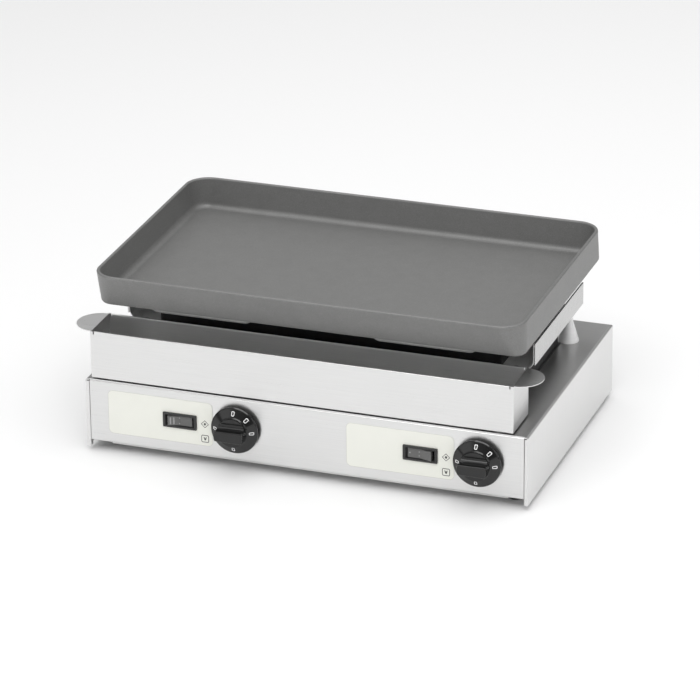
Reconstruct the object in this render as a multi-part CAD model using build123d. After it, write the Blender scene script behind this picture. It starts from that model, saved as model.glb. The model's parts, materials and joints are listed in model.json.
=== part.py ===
from build123d import *
import os
from math import radians, tan

# Electric two-zone flat top griddle: a cast pan over a stainless base, with a lift-out trough.
# Millimetres, +Z up. The parts are laid out in a base frame: x from the middle of the base, positive
# to the operator's right; y from the base's front plane, positive to the rear; z from the floor.
# write() then moves every part so that the origin is below the middle of the whole object's box.

# ---- sheet metal ----
SHEET = 1.5
GAP = 0.1  # assembly gap between flat faces
CUT = 1.0  # how far a cutting solid passes beyond the face it opens
BEND_R = 3.0
SCREW_HOLE_R = 2.1

# ---- base housing ----
BASE_W = 600.0
BASE_D = 382.0
FOOT_H = 8.0
DECK_Z = 103.0
DECK_UNDER = DECK_Z - SHEET
LIP_W = 12.0  # side lips turned in under the base
LIP_Y0 = 24.0
REAR_LIP_H = 12.0
HEM_W = 5.0  # front edge of each side, folded back on itself
HEM_D = 7.0
PANEL_X = 294.6  # half width of the control panel
PANEL_Y = 1.0  # its outer face
PANEL_Z0 = 16.0
PANEL_FLANGE = 22.0
BACK_FLANGE = 14.0
BACK_SCREW_XS = (-270.0, -90.0, 90.0, 270.0)
BACK_SCREW_Z = 96.0
WIRE_HOLE_R = 22.0
WIRE_HOLE_Y = 205.0
VENT_BANKS = (-190.0, 40.0)  # where each bank of rear slots starts
VENT_PITCH = 14.0
VENTS_IN_BANK = 6
VENT_L = 36.0
VENT_W = 4.0
VENT_Z = 56.0
COVER_X = 296.0
COVER_Y0 = 30.0
COVER_Y1 = 362.0
COVER_NOSE_X = 270.0  # the cover's front edge steps in at its corners
COVER_NOSE_Y0 = 12.0
COVER_Z = FOOT_H + SHEET + GAP
COVER_TOP = COVER_Z + SHEET
COVER_SLOTS = 10
COVER_SLOT_PITCH = 28.0
COVER_SLOT_Y = 180.0
COVER_SLOT_L = 60.0
COVER_SLOT_W = 5.0
FOOT_XS = (-272.0, 272.0)
FOOT_YS = (40.0, 342.0)
FOOT_R = 12.0
FOOT_RECESS_R = 5.0
FOOT_RECESS_H = 4.4

# ---- controls: one module for each heating zone ----
ZONES = {"left": -1, "right": 1}
MODULE_PITCH = 327.0
KNOB_X = {"left": -92.3, "right": -92.3 + MODULE_PITCH}
SWITCH_X = {"left": -169.7, "right": -169.7 + MODULE_PITCH}
DECAL_X = {"left": -197.0, "right": -197.0 + MODULE_PITCH}
CONTROL_Z = 60.5
DECAL_W = 145.0
DECAL_H = 61.0
DECAL_T = 0.4
DECAL_CORNER = 7.0
DECAL_DROP = 0.3  # how far its middle is below the controls' line
DECAL_FACE = PANEL_Y - DECAL_T
BEZEL_W = 46.5
BEZEL_H = 20.6
BEZEL_T = 2.2
BEZEL_Y = DECAL_FACE - BEZEL_T
SWITCH_W = 42.6
SWITCH_H = 17.2
SWITCH_BACK = 30.0
SWITCH_FIT = 0.4  # cutout larger than the switch body
MOUTH_W = 39.6  # the bezel's opening, which slopes in to the well
MOUTH_H = 14.8
MOUTH_DEPTH = 3.4
WELL_W = 35.4  # the well that the rocker swings in
WELL_H = 13.4
WELL_DEPTH = 13.0
ROCKER_L = 33.2
ROCKER_H = 12.6
ROCKER_T = 3.0  # from the pivot to the bottom of the face's valley
ROCKER_TILT = 8.0  # degrees either side of the middle
ROCKER_Y = 3.2  # the rocker's pivot
TRUNNION_R = 1.5
BLADE_XS = (-13.0, 13.0)
BLADE_ZS = (-4.5, 4.5)
BLADE_W = 6.3
BLADE_T = 0.8
BLADE_L = 8.0
RUN_FIT = 0.05  # radial clearance of a shaft in its hole
KNOB_R = 32.0
KNOB_BOSS_R = 19.5
KNOB_OUT = 28.0
KNOB_BACK_Y = -3.5  # the skirt stands off the panel
KNOB_GRIP = (6.6, 7.6)  # half thickness of the grip bar at its two ends
KNOB_SCOOP_Y = -13.0  # how deep the scoops either side of the bar go
KNOB_SCOOP_R = 5.0
KNOB_BORE_Y = -21.0
SPINDLE_R = 3.0
SPINDLE_FLAT = SPINDLE_R * 0.8
SPINDLE_BACK = 21.8
THERMOSTAT_HALF = 19.0
THERMOSTAT_BACK = 30.0
THERMOSTAT_COLLAR_R = 5.2
THERMOSTAT_SCREW_XS = (-14.0, 14.0)
THERMOSTAT_BLADES = (-10.0, 10.0)
THERMOSTAT_BLADE_Z = CONTROL_Z - 8.0

# ---- drip trough, which stands on the deck ----
TROUGH_X0 = -291.7
TROUGH_X1 = 280.6
TROUGH_Y0 = 0.7
TROUGH_Y1 = 64.9
TROUGH_Z0 = DECK_Z + 2.4
TROUGH_PAD_Z = DECK_Z + 0.2  # underside of the pads that it stands on
TROUGH_PAD_R = 6.0
TROUGH_Z1 = 170.0
TROUGH_T = 1.2
TROUGH_FOLD_R = 1.4
TROUGH_BASE_R = 1.2
TROUGH_HEM_T = 2.4  # front and rear rims, folded over inwards
TROUGH_HEM_H = 8.0
TROUGH_NOTCH = 1.6  # relief between each folded rim and the corner
TROUGH_POST = 4.0  # how far the corner stands in from the end
EAR_R = 30.0
EAR_Y = 33.0

# ---- carrier of the pan: pedestal, cone stand-offs, tray with its side strips, and heater box ----
SEAT_Z = 149.0  # top of the pedestal and the stand-offs, which the tray rests on
RAIL_X = 279.0
RAIL_Z = 158.5
RAIL_TOP = 188.0
RAIL_Y0 = 99.0
RAIL_Y1 = 313.0
RIVET_R = 1.6
RIVET_YS = (130.0, 206.0, 282.0)
RIVET_Z = 180.0
RIVET_COVER = 0.6  # metal left between a rivet's end and the strip's outer face
PEDESTAL_X = 250.0
PEDESTAL_Y0 = 118.0
PEDESTAL_Y1 = 297.0
PEDESTAL_R = 3.0
PEDESTAL_FLANGE = 20.0
PEDESTAL_T = 1.2
PEDESTAL_WELD = 2.5  # foot flange outside the walls
CONE_XS = (252.6, 259.6)  # front pair, rear pair
CONE_YS = (101.0, 312.4)
CONE_R = 13.6
CONE_NECK_R = 5.2
CONE_H = 30.0
CONE_TAP = 14.0
TRAY_T = 1.0
TRAY_X = 277.0
TRAY_Y0 = 92.0
TRAY_Y1 = 322.0
TRAY_SIDE_X = 264.0  # outside this, the tray ends with the rails
TRAY_TOP = 187.0
TRAY_R = 16.0
TRAY_Z = SEAT_Z + GAP
TRAY_FLOOR = TRAY_Z + TRAY_T
TRAY_SCREWS = [(side * x, y) for side in (-1, 1) for x, y in zip(CONE_XS, CONE_YS)]
BOX_X = 233.0
BOX_Y0 = 101.0
BOX_Y1 = 310.0
BOX_TOP = 191.0
BOX_T = 1.0
BOX_Z = TRAY_FLOOR + GAP
MAT_Z = 180.0
MAT_HOLE_R = 8.0
STUD_R = 3.0
STUD_HOLE_R = 3.3
PAN_STUDS = [(x, y) for x in (-240.0, 240.0) for y in (180.0, 280.0)]
SPACER_R = 6.0

# ---- cast pan ----
PAN_W = 578.0
PAN_Y0 = -3.2
PAN_Y1 = 371.0
PAN_TOP = 250.4
PAN_BOTTOM = 201.4
PAN_FLOOR = 207.5
PAN_WALL = 4.6
PAN_CORNER = 33.0
PAN_FOOT_CORNER = 16.0
PAN_FLOOR_CORNER = 20.0
PAN_RAKE = 24.0  # how far the front wall leans in by its foot
PAN_DRAFT = 1.5
PAN_COVE = 8.0
PAN_EDGE = 6.0
PAN_RIM_R = 1.9
BOSS_R = 10.0
BOSS_H = 5.0
BOSS_TAP = 2.0  # how far a stud goes into the pan's floor

# ---- heating ----
PLATE_X = {"left": -151.0, "right": 151.0}
PLATE_Y0 = 34.0
PLATE_Y1 = 320.0
PLATE_T = 9.2
PLATE_TOP = PAN_BOTTOM - GAP
PLATE_LOW = PAN_BOTTOM - PLATE_T
PLATE_BASE = 75.0  # half width against the pan
PLATE_FOOT = 63.0  # half width of the lower face
PLATE_EDGE = 0.8
ELEMENT_R = 3.25
ELEMENT_HALF = 40.0  # half the spacing of an element's two legs
ELEMENT_Z = PAN_BOTTOM - PLATE_T / 2
ELEMENT_Y0 = 70.0
ELEMENT_Y1 = 296.0
ELEMENT_BENDS = (8.0, 36.0, 36.0, 8.0)
PIN_Z = 174.0
PIN_R = 1.6
PIN_L = 5.0
BULB_R = 3.0
BULB_Y0 = 200.0
BULB_Y1 = 262.0
GROOVE_Y0 = 196.0
GROOVE_Y1 = 292.0
CLIP_Y0 = 222.0
CLIP_Y1 = 236.0
CAPILLARY_R = 0.9
CAPILLARY_TURN_Y = 284.0
CAPILLARY_DROP_Y = 214.0
CAPILLARY_HIGH = 172.0
CAPILLARY_LOW = 92.0

# ---- wiring and rear cable entry ----
GLAND_X = 200.0
GLAND_Z = 50.0
GLAND_BORE_R = 5.25
GLAND_THREAD_R = 10.0
GLAND_NECK_R = 8.5
GLAND_HEX_R = 13.5
GLAND_HEX_H = 7.0
GLAND_IN = 15.0  # barrel inside the panel
GLAND_NECK_Y = 400.0
GLAND_REAR = 411.0
BLOCK_X = 120.0
BLOCK_Y = 330.0
BLOCK_D = 20.0
BLOCK_H = 18.0
BLOCK_BORE_Z = COVER_TOP + BLOCK_H / 2
POLES = 5
POLE_PITCH = 12.0
WIRE_R = 1.6
WIRE_BEND = 4.0
WIRE_HIGH = 166.5
SOCKET_R = 2.6  # push-on socket over each element pin

ORIGIN_X = (TROUGH_X0 + TROUGH_X1) / 2
ORIGIN_Y = (GLAND_REAR + KNOB_BACK_Y - KNOB_OUT) / 2


# ---------------------------------------------------------------- helpers
def block(x0, x1, y0, y1, z0, z1):
    """A box between two corners."""
    size = Box(x1 - x0, y1 - y0, z1 - z0)
    return Pos((x0 + x1) / 2, (y0 + y1) / 2, (z0 + z1) / 2) * size


def rod_z(x, y, z0, z1, radius):
    """A cylinder along Z."""
    return Pos(x, y, (z0 + z1) / 2) * Cylinder(radius, z1 - z0)


def rod_y(x, z, y0, y1, radius):
    """A cylinder along Y."""
    return Pos(x, (y0 + y1) / 2, z) * Rot(90, 0, 0) * Cylinder(radius, y1 - y0)


def rod_x(y, z, x0, x1, radius):
    """A cylinder along X."""
    return Pos((x0 + x1) / 2, y, z) * Rot(0, 90, 0) * Cylinder(radius, x1 - x0)


def slab_y(x, z, width, height, corner, y0, y1):
    """A rounded rectangle in the XZ plane, thick from y0 to y1."""
    back = Plane(origin=(x, y1, z), x_dir=(1, 0, 0), z_dir=(0, -1, 0))
    return extrude(back * RectangleRounded(width, height, corner), y1 - y0)


def profile_xz(points, y0, y1):
    """A closed outline in the XZ plane, thick from y0 to y1."""
    face = make_face(Polyline(*[(x, y1, z) for x, z in points], close=True))
    return extrude(face, y1 - y0, dir=(0, -1, 0))


def mirrored(part):
    """The part's twin on the other side of the YZ plane."""
    return mirror(part, about=Plane.YZ)


def group(parts):
    """Separate solids kept together in one node."""
    return Compound([solid for part in parts for solid in part.solids()])


def lathe_y(x, z, outline):
    """Turns an outline of (y, radius) points about the axis along Y through (x, z)."""
    points = [(radius, y) for y, radius in outline]
    turned = revolve(Plane.XY * make_face(Polyline(*points, close=True)), Axis.Y)
    return Pos(x, 0, z) * turned


def lathe_z(x, y, outline):
    """Turns an outline of (z, radius) points about the axis along Z through (x, y)."""
    points = [(radius, 0, z) for z, radius in outline]
    turned = revolve(make_face(Polyline(*points, close=True)), Axis.Z)
    return Pos(x, y, 0) * turned


def screw(head_r, head_h, shank_r, length):
    """A pan head screw on Z: the head's seat is z 0, the shank goes down, a hexagon socket on top."""
    socket = extrude(Pos(0, 0, head_h) * RegularPolygon(head_r * 0.5, 6), -head_h * 0.6)
    head = fillet(Cylinder(head_r, head_h).edges().sort_by(Axis.Z)[-1], head_h * 0.35)
    return Pos(0, 0, head_h / 2) * head - socket + Pos(0, 0, -length / 2) * Cylinder(shank_r, length)


def nut(hex_r, height, bore_r):
    """A hexagon nut standing on z 0."""
    return extrude(RegularPolygon(hex_r, 6), height) - Pos(0, 0, height / 2) * Cylinder(bore_r, height)


def tube(points, radius, bend):
    """A round bar along straight runs joined by arcs of one bend radius."""
    path = FilletPolyline(*points, radius=bend) if len(points) > 2 else Line(*points)
    start = Plane(origin=path @ 0, z_dir=path % 0)
    return sweep(start * Circle(radius), path)


# ---------------------------------------------------------------- base housing
def housing_shell():
    """Deck and both sides in one folded sheet, with bottom lips, front hems and a rear lip."""
    half, rear_wall = BASE_W / 2, BASE_D - SHEET
    below, lip_top = FOOT_H - CUT, FOOT_H + SHEET + CUT
    outer = block(-half, half, 0, BASE_D, FOOT_H, DECK_Z)
    top_edges = [e for e in outer.edges().filter_by(Axis.Y) if e.center().Z > DECK_Z - 1]
    back_edges = [e for e in outer.edges().filter_by(Axis.X) if e.center().Y > BASE_D - 1]
    back_top = [e for e in back_edges if e.center().Z > DECK_Z - 1]
    outer = fillet(top_edges + back_top, BEND_R)
    inner = block(-half + SHEET, half - SHEET, -CUT, rear_wall, FOOT_H + SHEET, DECK_UNDER)
    slot = block(-half + LIP_W, half - LIP_W, -CUT, BASE_D + CUT, below, lip_top)
    slot = slot + block(-half + SHEET, half - SHEET, -CUT, LIP_Y0, below, lip_top)
    rear = block(-half + SHEET, half - SHEET, rear_wall - CUT, BASE_D + CUT, below, DECK_Z - REAR_LIP_H)
    front = block(-half + HEM_W, half - HEM_W, -CUT, PANEL_Y + 0.6, DECK_UNDER - GAP, DECK_Z + CUT)
    shell = outer - inner - slot - rear - front
    hem = block(half - HEM_W, half, 0, HEM_D, FOOT_H, DECK_Z - BEND_R)
    hem_edges = [e for e in hem.edges().filter_by(Axis.Z) if e.center().Y < 1]
    hem = fillet(hem_edges, SHEET)
    shell = shell + hem + mirrored(hem)
    for x in BACK_SCREW_XS:
        shell = shell - rod_y(x, BACK_SCREW_Z, rear_wall - CUT, BASE_D + CUT, SCREW_HOLE_R)
    return shell - rod_z(0, WIRE_HOLE_Y, DECK_UNDER - CUT, DECK_Z + CUT, WIRE_HOLE_R)


def control_panel():
    """Front panel with a top flange under the deck and a bottom flange over the cover."""
    back, top = PANEL_Y + SHEET, DECK_UNDER - GAP
    outer = block(-PANEL_X, PANEL_X, PANEL_Y, PANEL_FLANGE, PANEL_Z0, top)
    front_edges = [e for e in outer.edges().filter_by(Axis.X) if e.center().Y < PANEL_Y + 1]
    outer = fillet(front_edges, 2.0)
    inner = block(
        -PANEL_X - CUT, PANEL_X + CUT, back, PANEL_FLANGE + CUT, PANEL_Z0 + SHEET, top - SHEET
    )
    panel = outer - inner
    for side in ZONES:
        panel = panel - switch_cutout(side)
        panel = panel - rod_y(KNOB_X[side], CONTROL_Z, 0, back + CUT, THERMOSTAT_COLLAR_R + GAP)
        for offset in THERMOSTAT_SCREW_XS:
            panel = panel - rod_y(KNOB_X[side] + offset, CONTROL_Z, 0, back + CUT, SCREW_HOLE_R)
    return panel


def switch_cutout(side):
    """The opening that a switch's body passes through in the panel and its overlay."""
    width, height = SWITCH_W + SWITCH_FIT, SWITCH_H + SWITCH_FIT
    return slab_y(SWITCH_X[side], CONTROL_Z, width, height, 0.5, 0, PANEL_Y + SHEET + CUT)


def back_panel():
    """Rear panel behind the deck's rear lip, with the cable hole and two banks of vent slots."""
    half = BASE_W / 2 - SHEET - 0.3
    y1 = BASE_D - SHEET - GAP
    low = COVER_TOP + 0.4
    panel = block(-half, half, y1 - SHEET, y1, low, DECK_UNDER - 0.3)
    panel = panel + block(-half + BACK_FLANGE, half - BACK_FLANGE, y1 - BACK_FLANGE, y1, low, low + SHEET)
    panel = panel - rod_y(GLAND_X, GLAND_Z, y1 - SHEET - CUT, y1 + CUT, GLAND_THREAD_R + 0.2)
    slot = SlotOverall(VENT_L, VENT_W)
    for bank in VENT_BANKS:
        for i in range(VENTS_IN_BANK):
            middle = (bank + VENT_PITCH * i, y1 + CUT, VENT_Z)
            face = Plane(origin=middle, x_dir=(0, 0, 1), z_dir=(0, -1, 0)) * slot
            panel = panel - extrude(face, SHEET + 2 * CUT)
    for x in BACK_SCREW_XS:
        panel = panel - rod_y(x, BACK_SCREW_Z, y1 - SHEET - CUT, y1 + CUT, SCREW_HOLE_R)
    return panel


def bottom_cover():
    """Flat cover that closes the base from below and carries the feet."""
    cover = block(-COVER_X, COVER_X, COVER_Y0, COVER_Y1, COVER_Z, COVER_TOP)
    cover = cover + block(-COVER_NOSE_X, COVER_NOSE_X, COVER_NOSE_Y0, COVER_Y0 + 1, COVER_Z, COVER_TOP)
    for x, y in foot_spots():
        cover = cover - rod_z(x, y, COVER_Z - CUT, COVER_TOP + CUT, SCREW_HOLE_R)
    first = -COVER_SLOT_PITCH * (COVER_SLOTS - 1) / 2
    for i in range(COVER_SLOTS):
        middle = Plane(origin=(first + COVER_SLOT_PITCH * i, COVER_SLOT_Y, COVER_Z - CUT))
        slot = middle * SlotOverall(COVER_SLOT_L, COVER_SLOT_W, rotation=90)
        cover = cover - extrude(slot, SHEET + 2 * CUT)
    return cover


def foot_spots():
    """Where the four feet stand."""
    return [(x, y) for x in FOOT_XS for y in FOOT_YS]


def rubber_foot(x, y):
    """A tapered rubber foot with a recess for its screw."""
    top = COVER_Z - GAP
    body = lathe_z(x, y, [(0, 0), (0, FOOT_R - 2), (1, FOOT_R - 1.2), (top, FOOT_R), (top, 0)])
    recess = rod_z(x, y, -CUT, FOOT_RECESS_H, FOOT_RECESS_R)
    return body - recess - rod_z(x, y, 0, top + CUT, SCREW_HOLE_R)


def foot_screw(x, y):
    """Screw up through a foot into the bottom cover, with its nut inside."""
    return Pos(x, y, FOOT_RECESS_H) * Rot(180, 0, 0) * screw(4.2, 2.2, 2.0, 12.5)


def foot_nut(x, y):
    """Nut of a foot screw, on the cover's upper face."""
    return Pos(x, y, COVER_TOP + GAP) * nut(4.4, 3.2, 2.05)


def back_screw(x):
    """Screw through the rear lip into the back panel's edge."""
    return Pos(x, BASE_D, BACK_SCREW_Z) * Rot(-90, 0, 0) * screw(3.6, 2.0, 2.0, 9)


# ---------------------------------------------------------------- controls
def decal(side):
    """Printed overlay with rounded corners, cut out round the switch."""
    middle = CONTROL_Z - DECAL_DROP
    sheet = slab_y(DECAL_X[side], middle, DECAL_W, DECAL_H, DECAL_CORNER, DECAL_FACE, PANEL_Y)
    return sheet - switch_cutout(side)


def switch_housing(side):
    """Bezel and body of a rocker switch, open in front, with pivot holes above and below."""
    x = SWITCH_X[side]
    bezel = slab_y(x, CONTROL_Z, BEZEL_W, BEZEL_H, 1.0, BEZEL_Y, DECAL_FACE)
    rim = [e for e in bezel.edges() if abs(e.center().Y - BEZEL_Y) < 0.01]
    bezel = fillet(rim, 0.7)
    body = slab_y(x, CONTROL_Z, SWITCH_W, SWITCH_H, 0.4, DECAL_FACE - 0.5, SWITCH_BACK)
    well = slab_y(x, CONTROL_Z, WELL_W, WELL_H, 0.4, BEZEL_Y - CUT, WELL_DEPTH)
    front_face = Plane(origin=(x, BEZEL_Y - 0.01, CONTROL_Z), x_dir=(1, 0, 0), z_dir=(0, -1, 0))
    deep_face = Plane(origin=(x, BEZEL_Y + MOUTH_DEPTH, CONTROL_Z), x_dir=(1, 0, 0), z_dir=(0, -1, 0))
    mouth = loft([front_face * Rectangle(MOUTH_W, MOUTH_H), deep_face * Rectangle(WELL_W, WELL_H)])
    bores = rod_z(x, ROCKER_Y, CONTROL_Z - SWITCH_H, CONTROL_Z + SWITCH_H, TRUNNION_R + RUN_FIT)
    return bezel + body - well - mouth - bores


def rocker(side):
    """Rocker with a shallow valley across its face and a trunnion at each end of its pivot."""
    half = ROCKER_L / 2
    end_y = -ROCKER_T - half * tan(radians(ROCKER_TILT))
    back, hub = 1.6, 4.0  # the rocker's back is this far behind its pivot at the ends; the hub's half width
    outline = [(-half, end_y), (0, -ROCKER_T), (half, end_y)]
    outline += [(half - 0.9, back), (hub, 3.4), (-hub, 3.4), (-half + 0.9, back)]
    face = make_face(Polyline(*[(x, y, -ROCKER_H / 2) for x, y in outline], close=True))
    paddle = extrude(face, ROCKER_H, dir=(0, 0, 1))
    ends = [e for e in paddle.edges().filter_by(Axis.Z) if e.center().Y < -ROCKER_T - 1]
    paddle = fillet(ends, 0.8)
    trunnion = Cylinder(TRUNNION_R, SWITCH_H - 0.4)
    tilt = ROCKER_TILT if side == "left" else -ROCKER_TILT
    return Pos(SWITCH_X[side], ROCKER_Y, CONTROL_Z) * Rot(0, 0, tilt) * (paddle + trunnion)


def blade(x, y, z):
    """A flat blade terminal, from y to the rear."""
    return block(x - BLADE_W / 2, x + BLADE_W / 2, y, y + BLADE_L, z - BLADE_T / 2, z + BLADE_T / 2)


def switch_terminals(side):
    """Two pairs of blade terminals behind the switch."""
    x = SWITCH_X[side]
    return group([blade(x + dx, SWITCH_BACK, CONTROL_Z + dz) for dx in BLADE_XS for dz in BLADE_ZS])


def knob(side):
    """Skirted knob with a straight grip bar, hollow behind, on a D-shaped bore."""
    outline = [(0, 0), (0, KNOB_R - 0.6), (-0.6, KNOB_R), (-2.4, KNOB_R), (-3.4, KNOB_R - 1.1)]
    outline += [(-8.6, KNOB_BOSS_R + 1.2), (-9.8, KNOB_BOSS_R), (-KNOB_OUT, KNOB_BOSS_R), (-KNOB_OUT, 0)]
    body = lathe_y(0, 0, outline)
    thin, thick = KNOB_GRIP
    scoop = profile_xz([(-30, thin), (30, thick), (30, 30), (-30, 30)], -40, KNOB_SCOOP_Y)
    deep = [e for e in scoop.edges() if abs(e.center().Y - KNOB_SCOOP_Y) < 0.01 and e.center().Z < 10]
    scoop = fillet(deep, KNOB_SCOOP_R)
    body = body - scoop - mirror(scoop, about=Plane.XY)
    tips = [e for e in body.edges() if abs(e.center().Y + KNOB_OUT) < 0.01]
    body = fillet(tips, 1.2)
    hub, cave = 7.0, 28.6  # radii of the hub left behind the skirt and of the hollow round it
    hollow = lathe_y(0, 0, [(1, hub), (1, cave), (-2.2, cave), (-3.2, 27), (-5.4, 19), (-5.4, hub)])
    flat = block(-4, 4, KNOB_BORE_Y - CUT, 2, SPINDLE_FLAT, 4)
    bore = rod_y(0, 0, KNOB_BORE_Y, CUT, SPINDLE_R + 0.02) - flat
    return Pos(KNOB_X[side], KNOB_BACK_Y, CONTROL_Z) * (body - hollow - bore)


def spindle(side):
    """Thermostat spindle with a flat for the knob."""
    tip = KNOB_BACK_Y + KNOB_BORE_Y
    flat = block(-4, 4, tip - CUT, 3, SPINDLE_FLAT - 0.02, 4)
    front = rod_y(0, 0, tip + 0.5, 2, SPINDLE_R) - flat
    return Pos(KNOB_X[side], 0, CONTROL_Z) * (front + rod_y(0, 0, 2, SPINDLE_BACK, SPINDLE_R))


def thermostat(side):
    """Capillary thermostat: a box on the panel's back with a collar and a spindle bearing."""
    back, half = PANEL_Y + SHEET, THERMOSTAT_HALF
    box = block(-half, half, back, THERMOSTAT_BACK, -half, half)
    box = fillet(box.edges().filter_by(Axis.Y), 3)
    collar = rod_y(0, 0, PANEL_Y, back, THERMOSTAT_COLLAR_R)
    body = box + collar - rod_y(0, 0, 0, SPINDLE_BACK + 0.2, SPINDLE_R + RUN_FIT)
    for x in THERMOSTAT_SCREW_XS:
        body = body - rod_y(x, 0, 0, 11, 1.9)
    return Pos(KNOB_X[side], 0, CONTROL_Z) * body


def thermostat_screw(x):
    """Screw that holds a thermostat to the panel, under its knob."""
    return Pos(x, PANEL_Y, CONTROL_Z) * Rot(90, 0, 0) * screw(3.4, 1.9, 1.85, 9)


def thermostat_terminals(side):
    """Blade terminals on the back of a thermostat."""
    x = KNOB_X[side]
    return group([blade(x + dx, THERMOSTAT_BACK, THERMOSTAT_BLADE_Z) for dx in THERMOSTAT_BLADES])


# ---------------------------------------------------------------- drip trough
def trough():
    """Open folded box with a half-round finger ear turned out from the top of each end."""
    t, x0, x1, y0, y1 = TROUGH_T, TROUGH_X0, TROUGH_X1, TROUGH_Y0, TROUGH_Y1
    outer = block(x0, x1, y0, y1, TROUGH_Z0, TROUGH_Z1)
    outer = fillet(outer.edges().filter_by(Axis.Z), TROUGH_FOLD_R)
    low = [e for e in outer.edges() if e.center().Z < TROUGH_Z0 + 0.01]
    outer = fillet(low, TROUGH_BASE_R)
    body = outer - block(x0 + t, x1 - t, y0 + t, y1 - t, TROUGH_Z0 + t, TROUGH_Z1 + CUT)
    body = body + trough_pads() - trough_hem(y0, True) - trough_hem(y1 - TROUGH_HEM_T, True)
    body = body + trough_hem(y0, False) + trough_hem(y1 - TROUGH_HEM_T, False)
    disc = rod_z(0, EAR_Y, TROUGH_Z1 - t, TROUGH_Z1, EAR_R)
    root = t / 2  # the ears run into the middle of the end walls
    reach = EAR_R + 2 * CUT
    left = Pos(x0 + root, 0, 0) * disc & block(x0 - reach, x0 + root, y0, y1, 0, TROUGH_Z1 + CUT)
    right = Pos(x1 - root, 0, 0) * disc & block(x1 - root, x1 + reach, y0, y1, 0, TROUGH_Z1 + CUT)
    return body + left + right


def trough_hem(y, opening):
    """The folded rim from y to the rear, or the opening cut for it with its end notches."""
    ends = TROUGH_POST if opening else TROUGH_POST + TROUGH_NOTCH
    low = TROUGH_Z1 - TROUGH_HEM_H / 2 if opening else TROUGH_Z1 - TROUGH_HEM_H
    rise = CUT if opening else 0
    x0, x1 = TROUGH_X0 + ends, TROUGH_X1 - ends
    rim = block(x0, x1, y, y + TROUGH_HEM_T, low, TROUGH_Z1 + rise)
    if opening:
        return rim
    top = [e for e in rim.edges().filter_by(Axis.X) if e.center().Z > TROUGH_Z1 - 0.01]
    return fillet(top, TROUGH_HEM_T * 0.45)


def trough_pads():
    """Four flat pads pressed down out of the trough's floor, which rest on the deck."""
    inset = 4 * TROUGH_PAD_R
    xs, ys = (TROUGH_X0 + inset, TROUGH_X1 - inset), (TROUGH_Y0 + inset / 2, TROUGH_Y1 - inset / 2)
    top = TROUGH_Z0 + TROUGH_T / 2
    return Part() + [rod_z(x, y, TROUGH_PAD_Z, top, TROUGH_PAD_R) for x in xs for y in ys]


# ---------------------------------------------------------------- carrier
def pedestal():
    """Welded sheet riser between the deck and the tray, with foot and top flanges."""
    x, y0, y1, top = PEDESTAL_X, PEDESTAL_Y0, PEDESTAL_Y1, SEAT_Z
    inset, weld = PEDESTAL_FLANGE, PEDESTAL_WELD
    ring = block(-x, x, y0, y1, DECK_Z, top)
    ring = fillet(ring.edges().filter_by(Axis.Z), PEDESTAL_R)
    foot = block(-x - weld, x + weld, y0 - weld, y1 + weld, DECK_Z, DECK_Z + PEDESTAL_T)
    hollow = block(-x + SHEET, x - SHEET, y0 + SHEET, y1 - SHEET, DECK_Z - CUT, top - SHEET)
    mouth = block(-x + inset, x - inset, y0 + inset, y1 - inset, DECK_Z - CUT, top + CUT)
    body = ring + foot - hollow - mouth
    for px, py in PAN_STUDS:
        body = body - rod_z(px, py, top - SHEET - CUT, top + CUT, STUD_HOLE_R)
    return body


def cone_standoff(x, y):
    """Turned conical stand-off between the deck and the tray."""
    z0, z1, neck = DECK_Z, SEAT_Z, CONE_NECK_R
    outline = [(z0, 0), (z0, CONE_R), (z0 + 1, CONE_R), (z0 + CONE_H, neck), (z1, neck), (z1, 0)]
    return lathe_z(x, y, outline) - rod_z(x, y, z1 - CONE_TAP, z1 + CUT, 2.0)


def side_rail():
    """Right-hand side strip, riveted to the tray's wall."""
    x0 = TRAY_X + GAP
    rail = block(x0, RAIL_X, RAIL_Y0, RAIL_Y1, RAIL_Z, RAIL_TOP)
    front = [e for e in rail.edges().filter_by(Axis.Z) if e.center().X > RAIL_X - GAP]
    rail = fillet(front, 0.8)
    for y in RIVET_YS:
        rail = rail - rod_x(y, RIVET_Z, x0 - CUT, RAIL_X - RIVET_COVER, RIVET_R + RUN_FIT)
    return rail


def rail_rivet(y):
    """Blind rivet from inside the tray into the side strip."""
    x = TRAY_X - TRAY_T
    head = rod_x(y, RIVET_Z, x - 1.2, x, RIVET_R * 2)
    return head + rod_x(y, RIVET_Z, x - GAP, RAIL_X - RIVET_COVER - GAP, RIVET_R)


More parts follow.
